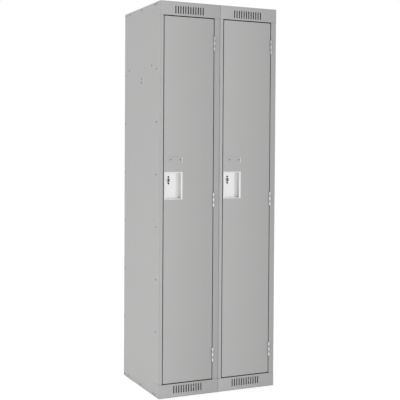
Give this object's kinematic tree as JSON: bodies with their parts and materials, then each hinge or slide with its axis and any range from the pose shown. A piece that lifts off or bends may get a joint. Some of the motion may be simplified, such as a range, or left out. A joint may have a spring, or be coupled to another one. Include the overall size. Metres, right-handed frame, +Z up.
{
  "type": "locker cabinet",
  "caption": "Steel locker bank: full-height lockers side by side with hinged flush doors, recessed handle pans, vented door frames, hat shelves and hooks.",
  "frame": {"origin": "middle of the bounding box on the floor plane", "axes": "+Z up from the floor, +X to the right seen from the front, the doors face -Y"},
  "size_m": [0.6134, 0.4644, 1.829],
  "materials": {
    "frame_enamel": "baked grey enamel, satin",
    "door_enamel": "baked grey enamel, satin",
    "body_enamel": "baked grey enamel, satin",
    "hinge_enamel": "baked grey enamel, worn bright on the knuckles",
    "stainless": "brushed stainless steel",
    "zinc_plate": "zinc plated",
    "lug_steel": "dark zinc plated",
    "rivet_steel": "steel rivet, dull",
    "bolt_steel": "zinc plated, dull",
    "catch_plastic": "matt moulded",
    "bumper_rubber": "matt"
  },
  "bodies": {
    "cabinet": {"left_side_panel": "body_enamel", "centre_partition": "body_enamel", "right_side_panel": "body_enamel", "left_panel_bolts": "bolt_steel", "centre_panel_bolts": "bolt_steel", "right_panel_bolts": "bolt_steel", "left_panel_nuts": "bolt_steel", "centre_panel_nuts": "bolt_steel", "right_panel_nuts": "bolt_steel", "left_header": "frame_enamel", "left_footer": "frame_enamel", "left_latch_stile": "frame_enamel", "left_hinge_stile": "frame_enamel", "left_back_panel": "body_enamel", "left_top_panel": "body_enamel", "left_bottom_panel": "body_enamel", "left_hat_shelf": "body_enamel", "left_ceiling_hook": "zinc_plate", "left_ceiling_hook_rivets": "rivet_steel", "left_side_hooks": "zinc_plate", "left_padlock_lug": "lug_steel", "left_frame_rivets": "rivet_steel", "left_magnetic_catch": "catch_plastic", "left_door_bumpers": "bumper_rubber", "left_frame_hinge_leaves": "hinge_enamel", "left_hinge_pins": "zinc_plate", "right_header": "frame_enamel", "right_footer": "frame_enamel", "right_latch_stile": "frame_enamel", "right_hinge_stile": "frame_enamel", "right_back_panel": "body_enamel", "right_top_panel": "body_enamel", "right_bottom_panel": "body_enamel", "right_hat_shelf": "body_enamel", "right_ceiling_hook": "zinc_plate", "right_ceiling_hook_rivets": "rivet_steel", "right_side_hooks": "zinc_plate", "right_padlock_lug": "lug_steel", "right_frame_rivets": "rivet_steel", "right_magnetic_catch": "catch_plastic", "right_door_bumpers": "bumper_rubber", "right_frame_hinge_leaves": "hinge_enamel", "right_hinge_pins": "zinc_plate"},
    "left_door": {"left_door_hinge_leaves": "hinge_enamel", "left_door_skin": "door_enamel", "left_door_liner": "door_enamel", "left_door_stiffener": "door_enamel", "left_handle_pan": "stainless", "left_number_plate": "door_enamel", "left_plate_rivets": "rivet_steel", "left_hinge_rivets": "rivet_steel"},
    "right_door": {"right_door_hinge_leaves": "hinge_enamel", "right_door_skin": "door_enamel", "right_door_liner": "door_enamel", "right_door_stiffener": "door_enamel", "right_handle_pan": "stainless", "right_number_plate": "door_enamel", "right_plate_rivets": "rivet_steel", "right_hinge_rivets": "rivet_steel"}
  },
  "joints": [
    {"name": "left_door_hinge", "type": "hinge", "parent": "cabinet", "child": "left_door", "pos_m": [-0.0308, -0.22844, 0.9145], "axis": [0, 0, 1], "range_deg": [0, 170]},
    {"name": "right_door_hinge", "type": "hinge", "parent": "cabinet", "child": "right_door", "pos_m": [0.2746, -0.22844, 0.9145], "axis": [0, 0, 1], "range_deg": [0, 170]}
  ]
}
